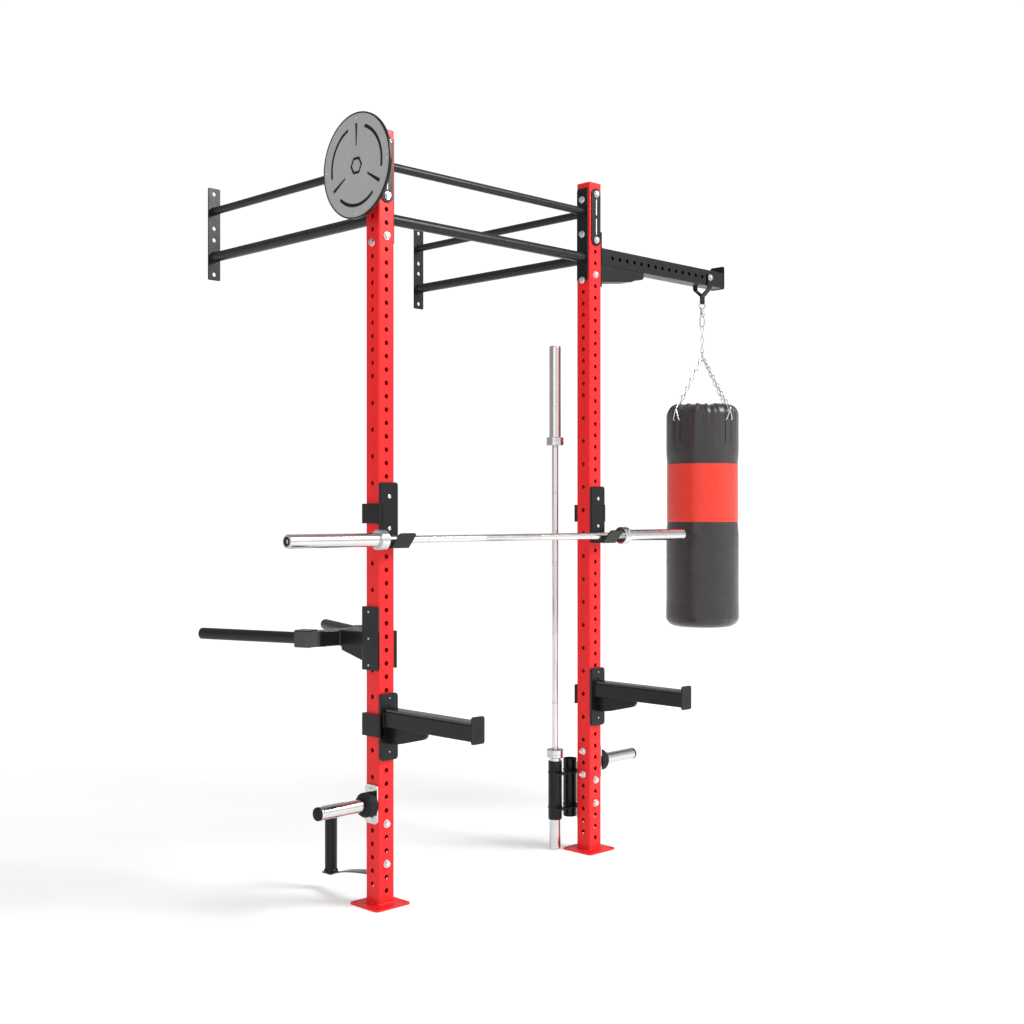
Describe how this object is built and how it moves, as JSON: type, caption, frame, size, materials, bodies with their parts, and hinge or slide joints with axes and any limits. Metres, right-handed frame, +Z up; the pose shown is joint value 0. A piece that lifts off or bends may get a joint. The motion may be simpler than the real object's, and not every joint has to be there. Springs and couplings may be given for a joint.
{
  "type": "power cage",
  "caption": "Wall-braced power cage with pull-up bars, a barbell on J-shaped cradles, spotter arms, dip handles, plate pegs, a round target and a heavy bag on a drilled boom.",
  "frame": {"origin": "underside of the left upright's foot plate, at the upright's centre", "axes": "+Z up, +X from the left upright to the right upright, +Y from the cage to the wall"},
  "size_m": [2.66, 1.675, 2.9541],
  "materials": {
    "powder_red": "gloss red powder coat",
    "powder_black": "semi-gloss black powder coat",
    "satin_black": "fine-textured satin black",
    "target_grey": "satin grey",
    "chrome": "polished",
    "liner_black": "matte black",
    "bumper_rubber": "matte black",
    "bag_vinyl": "wrinkled charcoal synthetic leather"
  },
  "bodies": {
    "frame": {"bar_holder_bracket": "powder_black", "bar_holder_tube_left": "powder_black", "bar_holder_tube_right": "powder_black", "base_plate_left": "powder_red", "base_plate_right": "powder_red", "boom_arm": "powder_black", "boom_end_plate": "powder_black", "boom_mount": "powder_black", "cross_plate_left": "powder_black", "cross_plate_right": "powder_black", "crossbar_lower": "powder_black", "crossbar_upper": "powder_black", "front_plate_left": "powder_black", "front_plate_right": "powder_black", "jcup_left": "powder_black", "jcup_liner_left": "liner_black", "jcup_liner_right": "liner_black", "jcup_right": "powder_black", "low_post": "powder_black", "low_post_bracket": "powder_black", "low_post_handle": "chrome", "peg_bumper_left": "bumper_rubber", "peg_bumper_right": "bumper_rubber", "plate_peg_left": "chrome", "plate_peg_right": "chrome", "rear_plate_left": "powder_black", "rear_plate_right": "powder_black", "target_bracket": "powder_black", "target_disc": "target_grey", "target_rim": "powder_black", "upright_left": "powder_red", "upright_right": "powder_red", "wall_bar_lower_left": "powder_black", "wall_bar_lower_right": "powder_black", "wall_bar_upper_left": "powder_black", "wall_bar_upper_right": "powder_black", "wall_plate_left": "powder_black", "wall_plate_right": "powder_black"},
    "spotter_left": {"spotter_bracket_left": "powder_black", "spotter_liner_left": "liner_black", "spotter_arm_left": "powder_black"},
    "spotter_right": {"spotter_bracket_right": "powder_black", "spotter_liner_right": "liner_black", "spotter_arm_right": "powder_black"},
    "dip_station": {"dip_bracket": "powder_black", "dip_yoke": "powder_black", "dip_handle_left": "satin_black", "dip_handle_right": "satin_black"},
    "barbell": {"barbell_shaft": "chrome"},
    "barbell_sleeve_left": {"barbell_sleeve_left": "chrome"},
    "barbell_sleeve_right": {"barbell_sleeve_right": "chrome"},
    "stored_bar": {"stored_bar_shaft": "chrome"},
    "stored_bar_sleeve_bottom": {"stored_bar_sleeve_bottom": "chrome"},
    "stored_bar_sleeve_top": {"stored_bar_sleeve_top": "chrome"},
    "bag_hanger": {"bag_yoke": "powder_black", "yoke_bolt": "chrome"},
    "bag_swivel": {"swivel_eye": "chrome"},
    "bag": {"snap_hook": "chrome", "bag_chains": "chrome", "heavy_bag": "bag_vinyl"}
  },
  "joints": [
    {"name": "spotter_left_slide", "type": "slide", "parent": "frame", "child": "spotter_left", "axis": [-1, 0, 0], "range_m": [0, 0.12]},
    {"name": "spotter_right_slide", "type": "slide", "parent": "frame", "child": "spotter_right", "axis": [1, 0, 0], "range_m": [0, 0.12]},
    {"name": "dip_station_slide", "type": "slide", "parent": "frame", "child": "dip_station", "axis": [0, 1, 0], "range_m": [0, 0.15]},
    {"name": "barbell_lift", "type": "slide", "parent": "frame", "child": "barbell", "axis": [0, 0, 1], "range_m": [0, 0.4]},
    {"name": "barbell_sleeve_left_spin", "type": "hinge", "parent": "barbell", "child": "barbell_sleeve_left", "pos_m": [-0.3, -0.104, 1.3723], "axis": [1, 0, 0], "continuous": true},
    {"name": "barbell_sleeve_right_spin", "type": "hinge", "parent": "barbell", "child": "barbell_sleeve_right", "pos_m": [1.5, -0.104, 1.3723], "axis": [1, 0, 0], "continuous": true},
    {"name": "stored_bar_lift", "type": "slide", "parent": "frame", "child": "stored_bar", "axis": [0, 0, 1], "range_m": [0, 0.4]},
    {"name": "stored_bar_sleeve_bottom_spin", "type": "hinge", "parent": "stored_bar", "child": "stored_bar_sleeve_bottom", "pos_m": [1.077, 0.11, 0.2], "axis": [0, 0, 1], "continuous": true},
    {"name": "stored_bar_sleeve_top_spin", "type": "hinge", "parent": "stored_bar", "child": "stored_bar_sleeve_top", "pos_m": [1.077, 0.11, 2], "axis": [0, 0, 1], "continuous": true},
    {"name": "bag_hanger_swing", "type": "hinge", "parent": "frame", "child": "bag_hanger", "pos_m": [1.99, 0, 2.594], "axis": [0, 1, 0], "range_deg": [-20, 5]},
    {"name": "bag_swivel_swing", "type": "hinge", "parent": "bag_hanger", "child": "bag_swivel", "pos_m": [1.99, 0, 2.4835], "axis": [1, 0, 0], "range_deg": [-12, 12]},
    {"name": "bag_spin", "type": "hinge", "parent": "bag_swivel", "child": "bag", "pos_m": [1.99, 0, 2.424], "axis": [0, 0, 1], "continuous": true}
  ]
}
